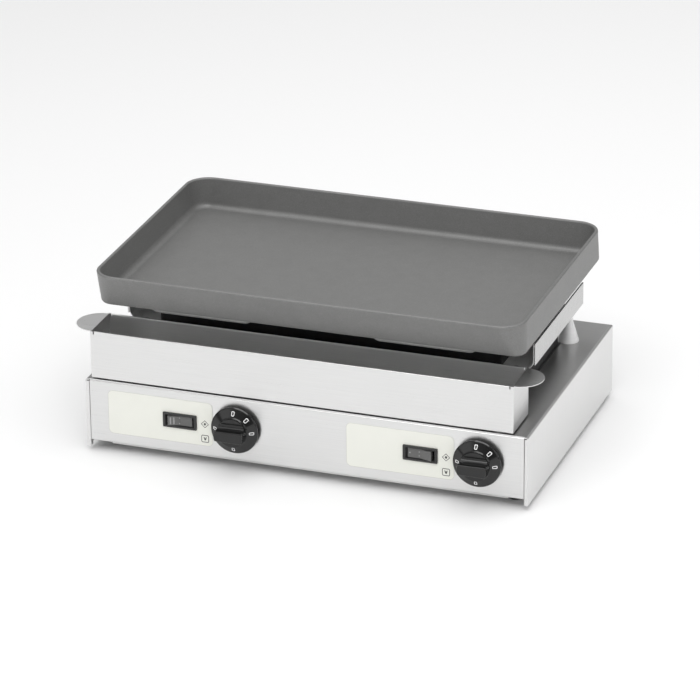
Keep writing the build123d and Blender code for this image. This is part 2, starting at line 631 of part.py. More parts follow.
def heater_tray():
    """Bright sheet tray with rounded sides, open in front and at the rear."""
    x, y0, y1, t = TRAY_X, TRAY_Y0, TRAY_Y1, TRAY_T
    outer = block(-x, x, y0, y1, TRAY_Z, TRAY_TOP)
    low = [e for e in outer.edges().filter_by(Axis.Y) if e.center().Z < TRAY_Z + 1]
    outer = fillet(low, TRAY_R)
    inner = block(-x + t, x - t, y0 - CUT, y1 + CUT, TRAY_FLOOR, TRAY_TOP + CUT)
    low = [e for e in inner.edges().filter_by(Axis.Y) if e.center().Z < TRAY_FLOOR + 1]
    inner = fillet(low, TRAY_R - t)
    tray = outer - inner
    holes = [(px, py, STUD_HOLE_R) for px, py in PAN_STUDS]
    holes += [(px, py, SCREW_HOLE_R) for px, py in TRAY_SCREWS]
    holes.append((0, WIRE_HOLE_Y, WIRE_HOLE_R))
    for hx, hy, radius in holes:
        tray = tray - rod_z(hx, hy, TRAY_Z - CUT, TRAY_FLOOR + CUT, radius)
    for cut_y0, cut_y1 in ((y0 - CUT, RAIL_Y0 + GAP), (RAIL_Y1 - GAP, y1 + CUT)):
        side = block(TRAY_SIDE_X, x + CUT, cut_y0, cut_y1, TRAY_Z - CUT, TRAY_TOP + CUT)
        tray = tray - side - mirrored(side)
    for y in RIVET_YS:
        hole = rod_x(y, RIVET_Z, x - t - CUT, x + CUT, RIVET_R + RUN_FIT)
        tray = tray - hole - mirrored(hole)
    return tray


def heater_box():
    """Dark open-topped box below the heating plates."""
    x, y0, y1, t = BOX_X, BOX_Y0, BOX_Y1, BOX_T
    outer = block(-x, x, y0, y1, BOX_Z, BOX_TOP)
    inner = block(-x + t, x - t, y0 + t, y1 - t, BOX_Z + t, BOX_TOP + CUT)
    return outer - inner - rod_z(0, WIRE_HOLE_Y, BOX_Z - CUT, BOX_Z + t + CUT, WIRE_HOLE_R)


def insulation_mat():
    """Ceramic fibre mat under the plates, pierced where elements and probes come through."""
    margin, low, top = 2.0, MAT_Z - CUT, BOX_TOP + CUT
    mat = block(-BOX_X + margin, BOX_X - margin, BOX_Y0 + margin, BOX_Y1 - margin, MAT_Z, BOX_TOP)
    for x in PLATE_X.values():
        for dx in (-ELEMENT_HALF, ELEMENT_HALF):
            mat = mat - rod_z(x + dx, ELEMENT_Y1, low, top, MAT_HOLE_R)
        mat = mat - block(x - 10, x + 10, BULB_Y0 - 10, GROOVE_Y1 + 8, low, top)
    return mat - rod_z(0, WIRE_HOLE_Y, low, top, 14)


# ---------------------------------------------------------------- pan and heating
def pan_outline(z, x_inset, front, back, corner):
    """A rounded rectangle at height z, from the front line to the back line."""
    middle = Plane(origin=(0, (front + back) / 2, z))
    return middle * RectangleRounded(PAN_W - 2 * x_inset, back - front, corner)


def pan():
    """Cast pan: near-vertical sides and back, a raked front wall and a rounded cove inside."""
    foot = pan_outline(PAN_BOTTOM, PAN_DRAFT, PAN_Y0 + PAN_RAKE, PAN_Y1 - PAN_DRAFT, PAN_FOOT_CORNER)
    rim = pan_outline(PAN_TOP, 0, PAN_Y0, PAN_Y1, PAN_CORNER)
    outer = loft([foot, rim], ruled=True)
    low = [e for e in outer.edges() if e.center().Z < PAN_BOTTOM + 0.01]
    outer = fillet(low, PAN_EDGE)
    lean = PAN_RAKE * (PAN_TOP - PAN_FLOOR) / (PAN_TOP - PAN_BOTTOM)
    front, rear, wall = PAN_Y0 + PAN_WALL, PAN_Y1 - PAN_WALL, PAN_WALL
    floor = pan_outline(PAN_FLOOR, wall + PAN_DRAFT, front + lean + 1, rear - PAN_DRAFT, PAN_FLOOR_CORNER)
    mouth = pan_outline(PAN_TOP, wall, front, rear, PAN_CORNER - wall)
    inner = loft([floor, mouth], ruled=True)
    low = [e for e in inner.edges() if e.center().Z < PAN_FLOOR + 0.01]
    inner = fillet(low, PAN_COVE)
    body = outer - inner
    rims = [e for e in body.edges() if e.center().Z > PAN_TOP - 0.01]
    body = fillet(rims, PAN_RIM_R)
    top = PAN_BOTTOM + BOSS_TAP
    for x, y in PAN_STUDS:
        body = body + rod_z(x, y, PAN_BOTTOM - BOSS_H, top, BOSS_R)
        body = body - rod_z(x, y, PAN_BOTTOM - BOSS_H - CUT, top, STUD_R)
    return body


def heater_plate(side):
    """Heating plate under the pan, with sloped sides, a cast-in element and a probe groove."""
    top, edge, low = PLATE_TOP, PLATE_TOP - PLATE_EDGE, PLATE_LOW
    base, foot, x = PLATE_BASE, PLATE_FOOT, PLATE_X[side]
    points = [(-base, top), (-base, edge), (-foot, low), (foot, low), (base, edge), (base, top)]
    plate = profile_xz([(x + px, pz) for px, pz in points], PLATE_Y0, PLATE_Y1)
    low_edges = [e for e in plate.edges().filter_by(Axis.Y) if e.center().Z < low + 0.1]
    plate = fillet(low_edges, 12)
    front = [e for e in plate.edges() if e.center().Z < low + 0.1 and e.center().Y < PLATE_Y0 + 1]
    plate = fillet(front, 4)
    plate = plate - element_tube(side, ELEMENT_R + 0.02, 0.5)
    half, roof = BULB_R + 0.3, ELEMENT_Z + BULB_R + 0.4
    return plate - block(x - half, x + half, GROOVE_Y0, GROOVE_Y1, low - CUT, roof)


def element_tube(side, radius, extra):
    """One tubular element: two legs joined in front, each turned down at the rear."""
    x, half, z = PLATE_X[side], ELEMENT_HALF, ELEMENT_Z
    low = PIN_Z - extra
    points = [(x - half, ELEMENT_Y1, low), (x - half, ELEMENT_Y1, z), (x - half, ELEMENT_Y0, z)]
    points += [(x + half, ELEMENT_Y0, z), (x + half, ELEMENT_Y1, z), (x + half, ELEMENT_Y1, low)]
    return tube(points, radius, ELEMENT_BENDS)


def heating_element(side):
    """An element with a terminal pin at each cold end."""
    xs = (PLATE_X[side] - ELEMENT_HALF, PLATE_X[side] + ELEMENT_HALF)
    pins = [rod_z(x, ELEMENT_Y1, PIN_Z - PIN_L, PIN_Z, PIN_R) for x in xs]
    return group([element_tube(side, ELEMENT_R, 0)] + pins)


def sensor_bulb(side):
    """Thermostat probe lying in the plate's groove."""
    return rod_y(PLATE_X[side], ELEMENT_Z, BULB_Y0, BULB_Y1, BULB_R)


def sensor_clip(side):
    """Spring strip that keeps a probe in its groove."""
    x, top = PLATE_X[side], PLATE_LOW - GAP
    return block(x - 9, x + 9, CLIP_Y0, CLIP_Y1, top - 1, top)


def capillary(side):
    """Capillary tube from the probe, down through the pedestal, to the thermostat."""
    x, drop_x, end_x = PLATE_X[side], ZONES[side] * 12, KNOB_X[side] + 6
    high, low, turn, drop = CAPILLARY_HIGH, CAPILLARY_LOW, CAPILLARY_TURN_Y, CAPILLARY_DROP_Y
    points = [(x, BULB_Y1, ELEMENT_Z), (x, turn, ELEMENT_Z), (x, turn, high), (drop_x, drop, high)]
    points += [(drop_x, drop, low), (end_x, 60, low), (end_x, 24, low)]
    points.append((end_x, 24, CONTROL_Z + THERMOSTAT_HALF))
    return tube(points, CAPILLARY_R, 5)


def stud_spacer(x, y):
    """Sleeve that carries the pan above the tray."""
    sleeve = rod_z(x, y, TRAY_FLOOR, PAN_BOTTOM - BOSS_H, SPACER_R)
    return sleeve - rod_z(x, y, TRAY_Z, PAN_BOTTOM, STUD_R + 0.2)


def pan_stud(x, y):
    """Threaded stud from the pan's boss down through the pedestal's flange."""
    return rod_z(x, y, SEAT_Z - 12, PAN_BOTTOM + BOSS_TAP, STUD_R)


def stud_nut(x, y):
    """Nut of a pan stud, under the pedestal's flange."""
    height = 5.0
    return Pos(x, y, SEAT_Z - SHEET - height - 0.3) * nut(5.8, height, STUD_R + RUN_FIT)


def tray_screw(x, y):
    """Screw through the tray's floor into a cone stand-off."""
    return Pos(x, y, TRAY_FLOOR + 3 * GAP) * screw(3.8, 2.4, 1.95, 12)


# ---------------------------------------------------------------- wiring and cable entry
def cable_gland():
    """Gland body: threaded barrel through the back panel, hexagon and clamping neck."""
    y_in, y_neck = BASE_D - SHEET - GLAND_IN, BASE_D + GLAND_HEX_H
    hexagon = Plane(origin=(0, y_neck, 0), z_dir=(0, -1, 0)) * RegularPolygon(GLAND_HEX_R, 6)
    body = rod_y(0, 0, y_in, BASE_D, GLAND_THREAD_R) + extrude(hexagon, GLAND_HEX_H)
    body = body + rod_y(0, 0, y_neck, GLAND_NECK_Y, GLAND_NECK_R)
    return Pos(GLAND_X, 0, GLAND_Z) * (body - rod_y(0, 0, y_in - CUT, GLAND_NECK_Y + CUT, GLAND_BORE_R))


def gland_cap():
    """Domed cap nut over the clamping neck."""
    y0, y1, neck = BASE_D + GLAND_HEX_H + 0.2, GLAND_REAR, GLAND_NECK_R + 0.2
    outline = [(y0, neck), (y0, 12.6), (y1 - 7, 12.6), (y1 - 2, 11.2), (y1, 9)]
    outline += [(y1, 6.5), (y1 - 8, 6.5), (y1 - 10.6, neck)]
    return lathe_y(GLAND_X, GLAND_Z, outline)


def gland_locknut():
    """Locknut on the gland's barrel inside the back panel."""
    seat, height = BASE_D - 2 * SHEET - GAP, 5.0
    ring = Plane(origin=(GLAND_X, seat, GLAND_Z), z_dir=(0, -1, 0)) * RegularPolygon(14, 6)
    hole = rod_y(GLAND_X, GLAND_Z, seat - height - CUT, seat + CUT, GLAND_THREAD_R + 0.03)
    return extrude(ring, height) - hole


def pole_x(i):
    """Where the terminal block's pole i is."""
    return BLOCK_X + (i - (POLES - 1) / 2) * POLE_PITCH


def terminal_block():
    """Porcelain terminal block on the bottom cover."""
    half, depth, top = POLES * POLE_PITCH / 2, BLOCK_D / 2, COVER_TOP + BLOCK_H
    body = block(BLOCK_X - half, BLOCK_X + half, BLOCK_Y - depth, BLOCK_Y + depth, COVER_TOP, top)
    for i in range(POLES):
        x = pole_x(i)
        body = body - rod_y(x, BLOCK_BORE_Z, BLOCK_Y - depth - CUT, BLOCK_Y + depth + CUT, 2.4)
        body = body - rod_z(x, BLOCK_Y - depth / 2, BLOCK_BORE_Z, top + CUT, 2.1)
    return body


def terminal_screws():
    """The block's clamping screws."""
    y, low, top = BLOCK_Y - BLOCK_D / 4, BLOCK_BORE_Z + 3, COVER_TOP + BLOCK_H - 1
    return group([rod_z(pole_x(i), y, low, top, 2.0) for i in range(POLES)])


def earth_stud():
    """Brass earthing stud on the bottom cover."""
    return Pos(180, 290, COVER_TOP) * (nut(4.6, 3, 1.0) + Pos(0, 0, 7) * Cylinder(2.5, 14))


def zone_wires(i, side):
    """One zone's leads: block to switch, switch to thermostat, thermostat to element."""
    switch, knob_x, sign = SWITCH_X[side], KNOB_X[side], ZONES[side]
    in_x, out_x = switch + BLADE_XS[0], switch + BLADE_XS[1]
    switch_z, thermostat_z = CONTROL_Z + BLADE_ZS[0], THERMOSTAT_BLADE_Z
    tip_y = SWITCH_BACK + BLADE_L + 0.2
    block_y, turn_y = BLOCK_Y - BLOCK_D / 2 - 0.5, BLOCK_Y - 30.5 - 12 * i
    run_z = BLOCK_BORE_Z + 6 + 8 * i
    feed = [(pole_x(i), block_y, BLOCK_BORE_Z), (pole_x(i), turn_y, BLOCK_BORE_Z)]
    feed += [(pole_x(i), turn_y, run_z), (in_x, turn_y, run_z), (in_x, 56, run_z)]
    feed += [(in_x, 56, switch_z), (in_x, tip_y, switch_z)]
    link = [(out_x, tip_y, switch_z), (out_x, 50, switch_z)]
    link += [(knob_x - 10, 50, thermostat_z), (knob_x - 10, tip_y, thermostat_z)]
    centre_x, element_x = sign * 5, PLATE_X[side] - sign * ELEMENT_HALF
    hot = [(knob_x + 10, tip_y, thermostat_z), (knob_x + 10, 66, thermostat_z)]
    hot += [(centre_x, 180, thermostat_z), (centre_x, 196, thermostat_z), (centre_x, 196, WIRE_HIGH)]
    hot += [(element_x, 240, WIRE_HIGH), (element_x, ELEMENT_Y1, WIRE_HIGH)]
    socket = rod_z(element_x, ELEMENT_Y1, WIRE_HIGH - WIRE_R - 0.6, PIN_Z - PIN_L - GAP, SOCKET_R)
    lead = tube(hot, WIRE_R, WIRE_BEND) + socket
    return [tube(feed, WIRE_R, WIRE_BEND), tube(link, WIRE_R, 3), lead]


def wiring():
    """Insulated leads from the terminal block to the switches, thermostats and elements."""
    return group([wire for i, side in enumerate(ZONES) for wire in zone_wires(i, side)])


# ---------------------------------------------------------------- output
def all_parts():
    """Every node's name and solid, in the base frame."""
    feet = foot_spots()
    rivets = [rail_rivet(y) for y in RIVET_YS]
    screw_xs = [KNOB_X[side] + dx for side in ZONES for dx in THERMOSTAT_SCREW_XS]
    parts = {
        "housing_shell": housing_shell(),
        "control_panel": control_panel(),
        "back_panel": back_panel(),
        "bottom_cover": bottom_cover(),
        "rubber_feet": group([rubber_foot(x, y) for x, y in feet]),
        "foot_screws": group([foot_screw(x, y) for x, y in feet]),
        "foot_nuts": group([foot_nut(x, y) for x, y in feet]),
        "back_panel_screws": group([back_screw(x) for x in BACK_SCREW_XS]),
        "thermostat_screws": group([thermostat_screw(x) for x in screw_xs]),
        "trough": trough(),
        "pedestal": pedestal(),
        "cone_standoffs": group([cone_standoff(x, y) for x, y in TRAY_SCREWS]),
        "side_rail_right": side_rail(),
        "side_rail_left": mirrored(side_rail()),
        "rail_rivets": group(rivets + [mirrored(rivet) for rivet in rivets]),
        "tray_screws": group([tray_screw(x, y) for x, y in TRAY_SCREWS]),
        "heater_tray": heater_tray(),
        "heater_box": heater_box(),
        "insulation_mat": insulation_mat(),
        "sensor_clips": group([sensor_clip(side) for side in ZONES]),
        "stud_spacers": group([stud_spacer(x, y) for x, y in PAN_STUDS]),
        "pan_studs": group([pan_stud(x, y) for x, y in PAN_STUDS]),
        "stud_nuts": group([stud_nut(x, y) for x, y in PAN_STUDS]),
        "pan": pan(),
        "cable_gland": cable_gland(),
        "gland_cap": gland_cap(),
        "gland_locknut": gland_locknut(),
        "terminal_block": terminal_block(),
        "terminal_screws": terminal_screws(),
        "earth_stud": earth_stud(),
        "wiring": wiring(),
    }
    per_zone = {
        "decal": decal,
        "switch_housing": switch_housing,
        "switch_terminals": switch_terminals,
        "rocker": rocker,
        "knob": knob,
        "spindle": spindle,
        "thermostat": thermostat,
        "thermostat_terminals": thermostat_terminals,
        "heater_plate": heater_plate,
        "heating_element": heating_element,
        "sensor_bulb": sensor_bulb,
        "capillary": capillary,
    }
    for name, make in per_zone.items():
        for side in ZONES:
            parts[f"{name}_{side}"] = make(side)
    return parts


def write(parts):
    """Writes one STEP for each node, in the object's own frame."""
    os.makedirs("parts", exist_ok=True)
    for name, part in parts.items():
        export_step(Pos(-ORIGIN_X, -ORIGIN_Y, 0) * part, f"parts/{name}.step")


write(all_parts())
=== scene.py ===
import json
import math

import bmesh
import bpy
from mathutils import Matrix, Vector


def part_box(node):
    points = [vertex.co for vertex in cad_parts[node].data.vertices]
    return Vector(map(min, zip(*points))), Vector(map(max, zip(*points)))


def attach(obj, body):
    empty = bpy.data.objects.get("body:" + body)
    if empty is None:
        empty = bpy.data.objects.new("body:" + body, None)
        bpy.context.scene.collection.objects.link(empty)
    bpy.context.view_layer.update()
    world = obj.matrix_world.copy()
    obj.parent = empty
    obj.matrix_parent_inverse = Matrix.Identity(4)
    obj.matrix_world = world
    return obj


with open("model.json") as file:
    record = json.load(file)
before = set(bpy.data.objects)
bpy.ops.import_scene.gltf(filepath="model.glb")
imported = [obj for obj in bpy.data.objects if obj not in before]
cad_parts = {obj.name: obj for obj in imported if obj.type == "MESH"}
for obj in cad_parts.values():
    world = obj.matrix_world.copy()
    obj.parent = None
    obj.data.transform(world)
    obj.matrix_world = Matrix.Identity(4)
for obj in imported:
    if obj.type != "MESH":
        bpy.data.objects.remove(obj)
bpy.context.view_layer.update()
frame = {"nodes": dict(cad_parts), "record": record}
MM = 0.001


# ---------------------------------------------------------------- camera
CAMERA_ANGLES = (19.55, 23.48, -0.61)  # azimuth, elevation and roll, in degrees
CAMERA_FROM_BASE = (1.77136, -4.80703, 2.40776)  # from the foot of the base's front, at its middle
CAMERA_LENS = 226.5
CAMERA_SENSOR = 36
CAMERA_CLIP = 60


def make_camera():
    """A long lens from the front right and above, placed from the base's front and middle."""
    az, el, roll = (math.radians(angle) for angle in CAMERA_ANGLES)
    back = Vector((math.sin(az) * math.cos(el), -math.cos(az) * math.cos(el), math.sin(el)))
    right = Vector((0, 0, 1)).cross(back).normalized()
    up = back.cross(right)
    across = math.cos(roll) * right + math.sin(roll) * up
    upward = -math.sin(roll) * right + math.cos(roll) * up
    cam = bpy.data.objects.new("camera", bpy.data.cameras.new("camera"))
    bpy.context.scene.collection.objects.link(cam)
    turn = Matrix((across, upward, back)).transposed().to_4x4()
    low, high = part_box("housing_shell")
    base = Vector(((low.x + high.x) / 2, low.y, 0))
    cam.matrix_world = Matrix.Translation(base + Vector(CAMERA_FROM_BASE)) @ turn
    cam.data.sensor_width = CAMERA_SENSOR
    cam.data.lens = CAMERA_LENS
    cam.data.clip_end = CAMERA_CLIP
    bpy.context.scene.camera = cam


# ---------------------------------------------------------------- materials
MAP_RANGE = ("From Min", "From Max", "To Min", "To Max")
NOISE_RANGE = (0.3, 0.7)
COARSE_SCRATCHES = (700, 9, 1)  # per metre, across and along the grain
FINE_SCRATCHES = (3200, 30, 1)
FINE_SHARE = 0.4  # of the fine scratches among all scratches
CLOUD_SHARE = 0.15  # of the cloudiness in the sheet's colour
SCRATCH_RELIEF = (0.22, 0.00006)  # strength, and depth in metres
STRETCHED_HIGHLIGHTS = 0.7  # anisotropy of brushed sheet


class Look:
    """A Principled material with helpers for its procedural detail."""

    def __init__(self, name, colour, roughness, metallic=0.0, **constants):
        self.material = bpy.data.materials.new(name)
        self.material.use_nodes = True
        self.nodes = self.material.node_tree.nodes
        self.links = self.material.node_tree.links
        self.shader = self.nodes["Principled BSDF"]
        self.colour = colour
        self.set("Base Color", (*colour, 1))
        self.set("Roughness", roughness)
        self.set("Metallic", metallic)
        for socket, value in constants.items():
            self.set(socket.replace("_", " "), value)
        self.material.diffuse_color = (*colour, 1)

    def set(self, socket, value):
        self.shader.inputs[socket].default_value = value

    def node(self, kind, **inputs):
        made = self.nodes.new(kind)
        for name, value in inputs.items():
            target = made.inputs[name.replace("_", " ")]
            if isinstance(value, bpy.types.NodeSocket):
                self.links.new(value, target)
            else:
                target.default_value = value
        return made

    def maths(self, operation, a, b=0.0, c=0.0):
        made = self.nodes.new("ShaderNodeMath")
        made.operation = operation
        for i, value in enumerate((a, b, c)):
            if isinstance(value, bpy.types.NodeSocket):
                self.links.new(value, made.inputs[i])
            else:
                made.inputs[i].default_value = value
        return made.outputs[0]

    def mix(self, a, b, share):
        """a and b together, with this share of b."""
        return self.maths("ADD", self.maths("MULTIPLY", a, 1 - share), self.maths("MULTIPLY", b, share))

    def place(self, scale=(1, 1, 1)):
        """Object coordinates, stretched."""
        return self.node("ShaderNodeMapping", Vector=self.coordinates("Object"), Scale=scale).outputs[0]

    def noise(self, vector, scale, detail=3.0, roughness=0.5):
        made = self.node(
            "ShaderNodeTexNoise", Vector=vector, Scale=scale, Detail=detail, Roughness=roughness
        )
        return made.outputs["Fac"]

    def spread(self, value, low, high, out_low, out_high):
        """The value's range low..high, remapped to out_low..out_high."""
        made = self.node("ShaderNodeMapRange", Value=value)
        for name, number in zip(MAP_RANGE, (low, high, out_low, out_high)):
            made.inputs[name].default_value = number
        return made.outputs[0]

    def stretch(self, noise, out_low=0.0, out_high=1.0):
        """A noise, which mostly stays within NOISE_RANGE, remapped to out_low..out_high."""
        return self.spread(noise, *NOISE_RANGE, out_low, out_high)

    def tint(self, value, dark, light):
        """Base colour from dark to light times the plain colour, as value goes from 0 to 1."""
        ramp = self.nodes.new("ShaderNodeValToRGB")
        self.links.new(value, ramp.inputs[0])
        for i, share in enumerate((dark, light)):
            ramp.color_ramp.elements[i].color = (*[min(1, c * share) for c in self.colour], 1)
        self.links.new(ramp.outputs[0], self.shader.inputs["Base Color"])

    def rough(self, value):
        self.links.new(value, self.shader.inputs["Roughness"])

    def bump(self, height, strength, distance):
        made = self.node("ShaderNodeBump", Height=height, Strength=strength, Distance=distance)
        self.links.new(made.outputs[0], self.shader.inputs["Normal"])

    def coordinates(self, kind):
        """The surface's place ("Object") or direction ("Normal")."""
        return self.nodes.new("ShaderNodeTexCoord").outputs[kind]

    def parts(self, vector):
        """A vector's x, y and z."""
        return self.node("ShaderNodeSeparateXYZ", Vector=vector).outputs

    def stretch_across(self, wraps_sides):
        """Highlights stretched across the grain, whose lines turn with the sheet's folds."""
        normal = self.coordinates("Normal")
        facing = self.parts(normal)
        side = self.maths("MULTIPLY", facing[0], facing[0])
        ahead = self.maths("SUBTRACT", 1.0, side)
        turned_axis = "Z" if wraps_sides else "Y"
        lines = self.node("ShaderNodeCombineXYZ", X=ahead, **{turned_axis: side}).outputs[0]
        cross = self.nodes.new("ShaderNodeVectorMath")
        cross.operation = "CROSS_PRODUCT"
        self.links.new(normal, cross.inputs[0])
        self.links.new(lines, cross.inputs[1])
        self.links.new(cross.outputs[0], self.shader.inputs["Tangent"])
        self.set("Anisotropic", STRETCHED_HIGHLIGHTS)

    def grain(self, wraps_sides):
        """Coordinates (across, along) of a brushed grain that follows the folded sheet.
        With wraps_sides it runs across the top and down the sides; otherwise round the four walls."""
        place = self.parts(self.coordinates("Object"))
        facing = self.parts(self.coordinates("Normal"))
        x, y, z = place[0], place[1], place[2]
        if wraps_sides:
            front = self.maths("POWER", self.maths("ABSOLUTE", facing[1]), 2.0)
            across = self.maths("ADD", y, self.maths("MULTIPLY", self.maths("SUBTRACT", z, y), front))
            along = self.maths("ADD", x, self.maths("MULTIPLY", z, self.maths("ABSOLUTE", facing[0])))
        else:
            level = self.maths("POWER", self.maths("ABSOLUTE", facing[2]), 2.0)
            side = self.maths("POWER", self.maths("ABSOLUTE", facing[0]), 2.0)
            across = self.maths("ADD", z, self.maths("MULTIPLY", self.maths("SUBTRACT", y, z), level))
            along = self.maths("ADD", x, self.maths("MULTIPLY", self.maths("SUBTRACT", y, x), side))
        return self.node("ShaderNodeCombineXYZ", X=across, Y=along).outputs[0]


def brushed(name, shade, roughness, wraps_sides=False, streak=0.05, metallic=1.0, top=1.0):
    """Brushed stainless sheet: long fine scratches in colour, gloss and relief, and a faint cloudiness.
    Faces that look up keep the share "top" of the shade: painted shade on upward faces, not a property of
    the sheet."""
    look = Look(name, (shade, shade, shade * 0.995), roughness, metallic)
    lines = look.grain(wraps_sides)
    coarse = look.node("ShaderNodeMapping", Vector=lines, Scale=COARSE_SCRATCHES).outputs[0]
    fine = look.node("ShaderNodeMapping", Vector=lines, Scale=FINE_SCRATCHES).outputs[0]
    streaks = look.noise(coarse, 1.0, 4.0, 0.65)
    hairs = look.noise(fine, 1.0, 2.0, 0.5)
    cloud = look.noise(look.place(), 7.0, 2.0)
    scratches = look.mix(streaks, hairs, FINE_SHARE)
    mixed = look.mix(scratches, cloud, CLOUD_SHARE)
    # Painted shade: upward faces are darkened by the share 1 - top.
    span = 1 - top + 2 * streak
    upward = look.parts(look.coordinates("Normal"))[2]
    level = look.maths("POWER", look.maths("MAXIMUM", upward, 0.0), 2.0)
    painted_top_shade = look.maths("MULTIPLY", level, (1 - top) / span)
    lit = look.stretch(mixed, (1 - top) / span, 1.0)
    look.tint(look.maths("SUBTRACT", lit, painted_top_shade), top - streak, 1 + streak)
    look.rough(look.stretch(scratches, roughness - 0.04, roughness + 0.06))
    look.bump(scratches, *SCRATCH_RELIEF)
    look.stretch_across(wraps_sides)
    return look.material


def cast_coating():
    """Speckled, slightly pebbled non-stick coating on a casting."""
    look = Look("cast_coating", (0.185, 0.185, 0.182), 0.46, metallic=0.25)
    place = look.place()
    grit = look.noise(place, 900.0, 3.0, 0.7)
    patches = look.noise(place, 60.0, 3.0, 0.6)
    specks = look.noise(place, 1500.0, 1.0, 0.5)
    bright = look.spread(specks, 0.6, 0.72, 0.0, 1.0)
    shade = look.maths("ADD", look.stretch(grit, 0.1, 0.6), bright)
    shade = look.maths("ADD", shade, look.stretch(patches, -0.06, 0.06))
    look.tint(shade, 0.82, 1.4)
    look.rough(look.stretch(grit, 0.34, 0.5))
    look.bump(grit, 0.3, 0.00018)
    return look.material


def cast_metal():
    """As-cast aluminium of the heating plates, dulled by heat."""
    look = Look("cast_metal", (0.42, 0.42, 0.415), 0.5, metallic=0.8)
    place = look.place()
    grain = look.noise(place, 420.0, 4.0, 0.6)
    stains = look.noise(place, 22.0, 3.0)
    look.tint(look.stretch(stains), 0.85, 1.1)
    look.rough(look.stretch(grain, 0.42, 0.6))
    look.bump(grain, 0.35, 0.0002)
    return look.material


def dark_steel():
    """Heat-stained dark steel of the heater box and its pedestal."""
    look = Look("dark_steel", (0.045, 0.045, 0.046), 0.5, metallic=0.6)
    place = look.place()
    stains = look.noise(place, 18.0, 4.0, 0.6)
    look.tint(look.stretch(stains), 0.7, 1.4)
    look.rough(look.stretch(look.noise(place, 160.0), 0.42, 0.6))
    return look.material


def moulded(name, colour, roughness, texture=900.0, relief=0.12, **constants):
    """Moulded plastic or rubber: an even colour with a fine texture in its gloss and relief."""
    look = Look(name, colour, roughness, **constants)
    place = look.place()
    pebble = look.noise(place, texture, 2.0)
    look.tint(look.stretch(look.noise(place, 45.0, 3.0)), 0.93, 1.07)
    look.rough(look.stretch(pebble, roughness - 0.03, roughness + 0.05))
    look.bump(pebble, relief, 0.00005)
    return look.material


def turned(name, shade, roughness, metallic):
    """Turned metal with fine rings round the part's axis."""
    look = Look(name, (shade, shade, shade), roughness, metallic)
    place = look.place((30, 30, 2600))
    rings = look.noise(place, 1.0, 3.0)
    look.tint(look.stretch(rings), 0.94, 1.06)
    look.rough(look.stretch(rings, roughness - 0.04, roughness + 0.08))
    look.bump(rings, 0.15, 0.00004)
    return look.material


def metal(name, colour, roughness):
    """Plain small metal parts, with slight tarnish."""
    look = Look(name, colour, roughness, metallic=1.0)
    place = look.place()
    tarnish = look.noise(place, 150.0, 4.0, 0.6)
    look.tint(look.stretch(tarnish), 0.85, 1.08)
    look.rough(look.stretch(tarnish, roughness - 0.06, roughness + 0.1))
    return look.material


def printed_film():
    """Cream printed overlay with a faint fine texture."""
    look = Look("decal_cream", (0.82, 0.825, 0.765), 0.42)
    place = look.place()
    look.tint(look.stretch(look.noise(place, 30.0, 3.0)), 0.985, 1.01)
    weave = look.noise(place, 1400.0, 2.0)
    look.rough(look.stretch(weave, 0.38, 0.5))
    look.bump(weave, 0.1, 0.00004)
    return look.material


def fibre():
    """Ceramic fibre mat and porcelain."""
    look = Look("ceramic", (0.82, 0.81, 0.77), 0.8)
    fluff = look.noise(look.place(), 400.0, 5.0, 0.7)
    look.tint(look.stretch(fluff), 0.85, 1.08)
    look.bump(fluff, 0.6, 0.0006)
    return look.material


LOOKS = {
    "stainless_front": brushed("stainless_front", 0.73, 0.30),
    # Painted shade: the housing's upward faces (the deck) keep 0.6 of the sheet's shade.
    "stainless_shell_painted_top_shade": brushed("stainless_shell_painted_top_shade", 0.76, 0.34, wraps_sides=True, top=0.6),
    # Painted shade: the side rails get a darker copy of the brushed stainless of their slot, for where they
    # sit under the pan.
    "stainless_rail_painted_shade": brushed("stainless_rail_painted_shade", 0.56, 0.26, wraps_sides=True),
    # Painted light: the tray's stainless is pale and barely metallic, brightening the tray that sits in
    # shade under the pan.
    "stainless_tray": brushed("stainless_tray", 0.9, 0.45, streak=0.03, metallic=0.15),
    "dark_steel": dark_steel(),
    "turned_aluminium": turned("turned_aluminium", 0.95, 0.4, 0.15),
    "screw_steel": metal("screw_steel", (0.6, 0.6, 0.6), 0.32),
    "cast_coating": cast_coating(),
    "cast_aluminium": cast_metal(),
    "decal_cream": printed_film(),
    "switch_black": moulded("switch_black", (0.022, 0.022, 0.022), 0.42),
    "rocker_grey": moulded("rocker_grey", (0.115, 0.115, 0.113), 0.35),
    "knob_black": moulded("knob_black", (0.007, 0.007, 0.007), 0.12, relief=0.03),
    "rubber_black": moulded("rubber_black", (0.02, 0.02, 0.02), 0.75, 600.0, 0.3),
    "gland_plastic": moulded("gland_plastic", (0.03, 0.03, 0.032), 0.5),
    "brass": metal("brass", (0.75, 0.58, 0.28), 0.3),
    "ceramic_white": fibre(),
    "element_steel": metal("element_steel", (0.34, 0.3, 0.26), 0.45),
    "copper_tube": metal("copper_tube", (0.75, 0.42, 0.28), 0.28),
    "wire_red": moulded("wire_red", (0.45, 0.05, 0.03), 0.5),
    "print_white": moulded("print_white", (0.85, 0.85, 0.85), 0.5),
    "print_dark": moulded("print_dark", (0.05, 0.05, 0.05), 0.55),
    # Painted shadow: grey of the line along each overlay's raised edge.
    "edge_shadow_grey": moulded("edge_shadow_grey", (0.56, 0.56, 0.54), 0.5),
    "rocker_mark": moulded("rocker_mark", (0.32, 0.32, 0.32), 0.45),
}

OWN_LOOKS = {  # nodes that differ from their slot's look
    "housing_shell": "stainless_shell_painted_top_shade",
    "side_rail_left": "stainless_rail_painted_shade",
    "side_rail_right": "stainless_rail_painted_shade",
}


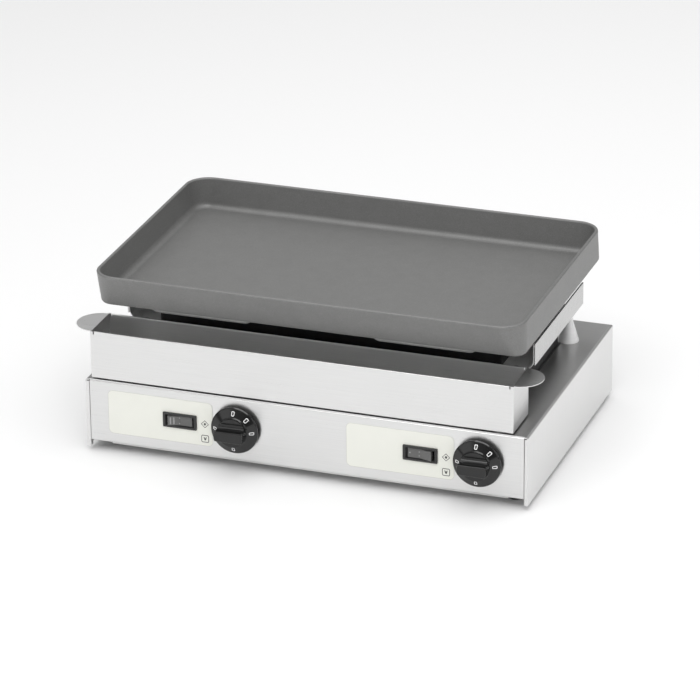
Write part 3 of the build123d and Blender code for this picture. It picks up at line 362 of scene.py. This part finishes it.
def dress_nodes():
    """Gives every CAD node the look of its material slot, or its own."""
    for part in frame["record"]["subparts"]:
        look = OWN_LOOKS.get(part["node"], part["material_slot"])
        materials = frame["nodes"][part["node"]].data.materials
        materials.clear()
        materials.append(LOOKS[look])


# ---------------------------------------------------------------- small mesh pieces
def piece(name, body, look, build):
    """A mesh piece on a body; build fills its bmesh, in metres."""
    mesh = bpy.data.meshes.new(name)
    shape = bmesh.new()
    build(shape)
    bmesh.ops.recalc_face_normals(shape, faces=shape.faces)
    shape.to_mesh(mesh)
    shape.free()
    mesh.materials.append(LOOKS[look])
    made = bpy.data.objects.new(name, mesh)
    bpy.context.scene.collection.objects.link(made)
    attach(made, body)


def rounded_loop(width, height, corner, steps=5):
    """Points round a rounded rectangle centred on 0, 0."""
    points = []
    for k, (sx, sy) in enumerate(((1, 1), (-1, 1), (-1, -1), (1, -1))):
        cx, cy = sx * (width / 2 - corner), sy * (height / 2 - corner)
        for i in range(steps + 1):
            a = math.pi / 2 * (k + i / steps)
            points.append((cx + corner * math.cos(a), cy + corner * math.sin(a)))
    return points


def inset_loop(points, amount):
    """The loop shrunk by amount towards its inside (the loop runs anticlockwise)."""
    n = len(points)
    out = []
    for i in range(n):
        before, here, after = (Vector(points[(i + k) % n]) for k in (-1, 0, 1))
        normal = Vector((0, 0))
        for edge in (here - before, after - here):
            if edge.length > 1e-9:
                normal += Vector((-edge.y, edge.x)).normalized()
        normal = normal.normalized()
        out.append(tuple(here + normal * amount))
    return out


def ring(shape, outer, inner, place, thick):
    """A flat closed band between two loops; place(u, v, w) puts a point in space."""
    rows = []
    for loop, w in ((outer, 0), (outer, thick), (inner, thick), (inner, 0)):
        rows.append([shape.verts.new(place(u, v, w)) for u, v in loop])
    n = len(outer)
    for a in range(4):
        for i in range(n):
            j = (i + 1) % n
            b = (a + 1) % 4
            shape.faces.new((rows[a][i], rows[a][j], rows[b][j], rows[b][i]))


def patch(shape, loop, place, thick):
    """A flat closed slab inside one loop."""
    low = [shape.verts.new(place(u, v, 0)) for u, v in loop]
    high = [shape.verts.new(place(u, v, thick)) for u, v in loop]
    shape.faces.new(low)
    shape.faces.new(high)
    for i in range(len(loop)):
        j = (i + 1) % len(loop)
        shape.faces.new((low[i], low[j], high[j], high[i]))


# ---------------------------------------------------------------- dial marks and pictograms, in mm
DIAL_MARKS = (  # clock angle in degrees from the top, width, height
    (0, 4.2, 5.8),
    (45, 4.4, 6.2),
    (89, 3.9, 6.1),
    (181, 4.1, 5.4),
    (273, 3.9, 5.7),
)
DIAL_MARK_R = 25.1  # the marks' middle, from the knob's axis
DIAL_MARK_CORNER = 1.2
DIAL_MARK_LINE = 0.95  # width of the outline
DIAL_MARK_T = 0.12
DIAL_MARK_LIFT = 0.02  # clear of the skirt
SKIRT_R = (30.9, 20.7)  # the skirt slopes from this radius at its rim to this one at the boss
SKIRT_Y = (-3.4, -8.6)  # its two ends, in front of the knob's back


def dial_mark(shape, centre, angle, width, height):
    """A printed outline, upright on the skirt's slope and turned to face out from the middle."""
    turn = math.radians(angle)

    def place(u, v, w):
        r = DIAL_MARK_R + v
        share = (SKIRT_R[0] - r) / (SKIRT_R[0] - SKIRT_R[1])
        y = SKIRT_Y[0] + (SKIRT_Y[1] - SKIRT_Y[0]) * share - DIAL_MARK_LIFT - w
        a = turn + u / DIAL_MARK_R
        return centre + Vector((r * math.sin(a), y, r * math.cos(a))) * MM

    loop = rounded_loop(width, height, DIAL_MARK_CORNER, steps=4)
    ring(shape, loop, inset_loop(loop, DIAL_MARK_LINE), place, DIAL_MARK_T)


def make_dials():
    """The printed marks round each knob's skirt."""
    for side in ("left", "right"):
        low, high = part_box(f"knob_{side}")
        centre = Vector(((low.x + high.x) / 2, high.y, (low.z + high.z) / 2))

        def build(shape):
            for angle, width, height in DIAL_MARKS:
                dial_mark(shape, centre, angle, width, height)

        piece(f"dial_marks_{side}", f"knob_{side}", "print_white", build)


PICTOGRAM_X = 134.1  # from the overlay's left edge
PICTOGRAM_ZS = (60.4, 39.8)  # the diamond's height and the square's
PICTOGRAM_T = 0.08
DIAMOND = [(5.4, 0), (0, 5.4), (-5.4, 0), (0, -5.4)]
DIAMOND_LINE = 1.0
DOT = rounded_loop(2.9, 3.3, 1.1)
SQUARE = rounded_loop(10.6, 10.4, 2.0)
SQUARE_LINE = 0.95
FUNNEL = [(-2.2, 2.2), (-1.0, 2.2), (0, 0.2), (1.0, 2.2), (2.2, 2.2), (0.9, -2.2), (-0.9, -2.2)]


def make_pictograms():
    """A diamond with a dot and a rounded square with a small mark, right of each switch."""
    for side in ("left", "right"):
        low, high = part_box(f"decal_{side}")
        x = low.x + PICTOGRAM_X * MM
        face = low.y

        def place_at(cz):
            return lambda u, v, w: Vector((x + u * MM, face - w * MM, (cz + v) * MM))

        def build(shape):
            up, down = (place_at(z) for z in PICTOGRAM_ZS)
            ring(shape, DIAMOND, inset_loop(DIAMOND, DIAMOND_LINE), up, PICTOGRAM_T)
            patch(shape, DOT, up, PICTOGRAM_T)
            ring(shape, SQUARE, inset_loop(SQUARE, SQUARE_LINE), down, PICTOGRAM_T)
            patch(shape, FUNNEL, down, PICTOGRAM_T)

        piece(f"pictograms_{side}", "base", "print_dark", build)


# The line round each overlay is a painted shadow of the film's edge, not print.
EDGE_CORNER = 7.0
EDGE_INSET = 0.05  # the line's outer side, from the overlay's edge
EDGE_LINE = 0.5  # the line's inner side, from the overlay's edge
EDGE_T = 0.03


def make_decal_edge_shadows():
    """A thin grey line round each printed overlay: a painted shadow along the film's raised edge."""
    for side in ("left", "right"):
        low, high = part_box(f"decal_{side}")
        centre = (low + high) / 2

        def place(u, v, w):
            return Vector((centre.x + u * MM, low.y - w * MM, centre.z + v * MM))

        def build(shape):
            edge = rounded_loop((high.x - low.x) / MM, (high.z - low.z) / MM, EDGE_CORNER, steps=8)
            ring(shape, inset_loop(edge, EDGE_INSET), inset_loop(edge, EDGE_LINE), place, EDGE_T)

        piece(f"decal_edge_{side}", "base", "edge_shadow_grey", build)


# ---------------------------------------------------------------- rocker marks, in mm
ROCKER_TILT = math.radians(8.0)  # each half of the face slopes this much, and so does the rocker at rest
ROCKER_VALLEY = 3.0  # the valley's distance in front of the pivot
ROCKER_MARKS = {  # across and up from the pivot, width, height
    "left": ((-12.6, 0, 1.7, 9.6), (-8.2, 0, 1.7, 9.6), (-0.8, 4.0, 1.3, 1.6), (-0.8, -3.6, 1.3, 1.6)),
    "right": ((-13.2, 0.2, 1.9, 1.9), (-0.8, 2.6, 1.5, 1.5), (-0.8, -2.9, 1.5, 1.5)),
}
ROCKER_MARK_SINK = 0.05  # into the rocker's face
ROCKER_MARK_CORNER = 0.6
ROCKER_MARK_T = 0.2


def make_rocker_marks():
    """Light grip bands and dots on the sloping halves of each rocker's face."""
    joints = {joint["name"]: joint for joint in frame["record"]["behaviour"]["joints"]}
    for side, turn in (("left", ROCKER_TILT), ("right", -ROCKER_TILT)):
        pivot = Vector(joints[f"rocker_{side}_press"]["pos_m"])

        def build(shape):
            for across, rise, width, height in ROCKER_MARKS[side]:

                def place(u, v, w):
                    x = across + u
                    y = -ROCKER_VALLEY - abs(x) * math.tan(ROCKER_TILT) + ROCKER_MARK_SINK - w
                    spin = Matrix.Rotation(turn, 3, "Z")
                    return pivot + spin @ Vector((x, y, rise + v)) * MM

                patch(shape, rounded_loop(width, height, ROCKER_MARK_CORNER, steps=4), place, ROCKER_MARK_T)

        piece(f"rocker_marks_{side}", f"rocker_{side}", "rocker_mark", build)


# ---------------------------------------------------------------- studio
# Each sky term is a direction's range and the strength at its two ends.
SKY_UP = (0.15, 0.85, 0.18, 0.6)
SKY_BACK = (-0.2, 0.9, 0.0, 0.06)
SKY_LEFT = (-0.9, 0.1, 0.08, 0.0)
LIGHTS = {  # place, target and size in metres, watts
    "top_box": ((0.9, 0.4, 3.2), (0.9, 0.4, 0), (5.0, 4.0), 62),
    "front_box": ((0.3, -2.7, 3.4), (0, 0, 0.1), (3.4, 1.8), 70),
    "left_box": ((-2.1, -3.25, 1.0), (0, 0, 0.1), (3.0, 1.5), 13),
    "right_box": ((3.0, -1.6, 1.1), (0, 0, 0.1), (2.4, 1.4), 10),
}
FLOOR_HALF = 14.0
FLOOR_SHADE = 0.93


def area_light(name, place, target, size, energy):
    """A soft rectangular light at place, turned to target."""
    light = bpy.data.objects.new(name, bpy.data.lights.new(name, "AREA"))
    light.data.shape = "RECTANGLE"
    light.data.size, light.data.size_y = size
    light.data.energy = energy
    bpy.context.scene.collection.objects.link(light)
    light.location = place
    aim = Vector(target) - Vector(place)
    light.rotation_euler = aim.to_track_quat("-Z", "Y").to_euler()


def make_world():
    """Soft studio surround: dim at the horizon, bright overhead, a little brighter on the left."""
    world = bpy.data.worlds.new("studio")
    world.use_nodes = True
    nodes, links = world.node_tree.nodes, world.node_tree.links
    direction = nodes.new("ShaderNodeTexCoord").outputs["Generated"]
    parts = nodes.new("ShaderNodeSeparateXYZ")
    links.new(direction, parts.inputs[0])

    def ramp(socket, *numbers):
        made = nodes.new("ShaderNodeMapRange")
        made.interpolation_type = "SMOOTHSTEP"
        links.new(parts.outputs[socket], made.inputs["Value"])
        for name, number in zip(MAP_RANGE, numbers):
            made.inputs[name].default_value = number
        return made.outputs[0]

    def add(a, b):
        made = nodes.new("ShaderNodeMath")
        links.new(a, made.inputs[0])
        links.new(b, made.inputs[1])
        return made.outputs[0]

    total = add(add(ramp(2, *SKY_UP), ramp(1, *SKY_BACK)), ramp(0, *SKY_LEFT))
    links.new(total, nodes["Background"].inputs["Strength"])
    nodes["Background"].inputs["Color"].default_value = (1, 1, 1, 1)
    bpy.context.scene.world = world


def make_studio():
    """A plain pale floor, the surround and the soft lights."""
    mesh = bpy.data.meshes.new("floor")
    corners = [(x * FLOOR_HALF, y * FLOOR_HALF, 0) for x, y in ((-1, -1), (1, -1), (1, 1), (-1, 1))]
    mesh.from_pydata(corners, [], [(0, 1, 2, 3)])
    floor = bpy.data.objects.new("floor", mesh)
    bpy.context.scene.collection.objects.link(floor)
    paper = Look("studio_paper", (FLOOR_SHADE, FLOOR_SHADE, FLOOR_SHADE), 0.9)
    mesh.materials.append(paper.material)
    make_world()
    for name, numbers in LIGHTS.items():
        area_light(name, *numbers)
    bpy.context.scene.view_settings.view_transform = "Standard"


make_camera()
dress_nodes()
make_dials()
make_pictograms()
make_decal_edge_shadows()
make_rocker_marks()
make_studio()
